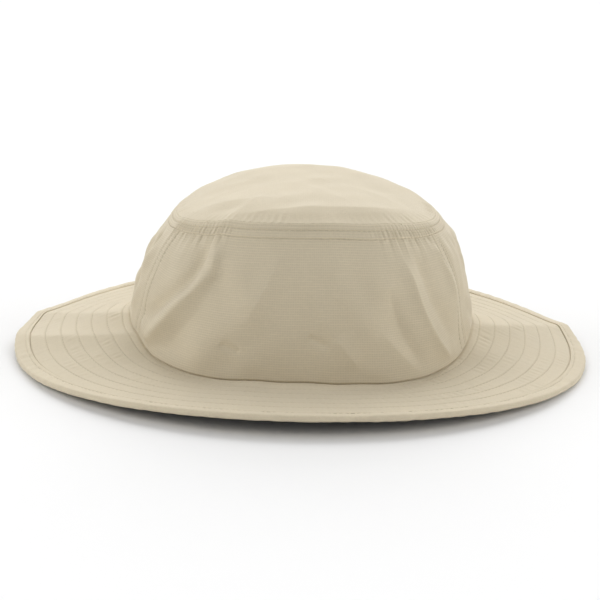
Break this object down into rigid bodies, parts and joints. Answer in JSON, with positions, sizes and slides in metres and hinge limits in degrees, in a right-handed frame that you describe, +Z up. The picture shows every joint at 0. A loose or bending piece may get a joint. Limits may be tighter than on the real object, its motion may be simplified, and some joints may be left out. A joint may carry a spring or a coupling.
{
  "type": "boonie hat",
  "caption": "Soft wide-brimmed cloth sun hat with an oval domed top, a panelled crown and a stitched, bound brim.",
  "frame": {"origin": "on the floor, under the centre of the brim's outline", "axes": "+Z up, -Y towards the wearer's front, +X towards the wearer's left"},
  "size_m": [0.321, 0.322, 0.0977],
  "materials": {
    "crown_cloth": "matt khaki ripstop weave",
    "brim_cloth": "matt khaki plain weave, quilted",
    "underbrim_cloth": "matt charcoal plain weave, quilted",
    "brim_foam": "soft non-woven padding",
    "binding_cloth": "matt khaki plain weave",
    "sweatband_cloth": "soft khaki twill",
    "seam_tape": "matt woven tape",
    "thread": "matt polyester thread"
  },
  "bodies": {
    "root": {"crown_tip": "crown_cloth", "crown_front_panel": "crown_cloth", "crown_left_side_panel": "crown_cloth", "crown_rear_panel": "crown_cloth", "crown_right_side_panel": "crown_cloth", "brim_upper_cloth": "brim_cloth", "brim_lower_cloth": "underbrim_cloth", "brim_foam": "brim_foam", "brim_binding": "binding_cloth", "sweatband": "sweatband_cloth", "top_seam_tape": "seam_tape", "front_left_seam_tape": "seam_tape", "front_right_seam_tape": "seam_tape", "rear_left_seam_tape": "seam_tape", "rear_right_seam_tape": "seam_tape", "brim_quilting_row_1": "thread", "brim_quilting_row_2": "thread", "brim_quilting_row_3": "thread", "brim_quilting_row_4": "thread", "brim_quilting_row_5": "thread", "brim_quilting_row_6": "thread", "top_seam_stitching_upper": "thread", "top_seam_stitching_lower": "thread", "front_left_seam_stitching_inner": "thread", "front_left_seam_stitching_outer": "thread", "front_right_seam_stitching_inner": "thread", "front_right_seam_stitching_outer": "thread", "rear_left_seam_stitching_inner": "thread", "rear_left_seam_stitching_outer": "thread", "rear_right_seam_stitching_inner": "thread", "rear_right_seam_stitching_outer": "thread", "binding_stitching": "thread"}
  },
  "joints": []
}
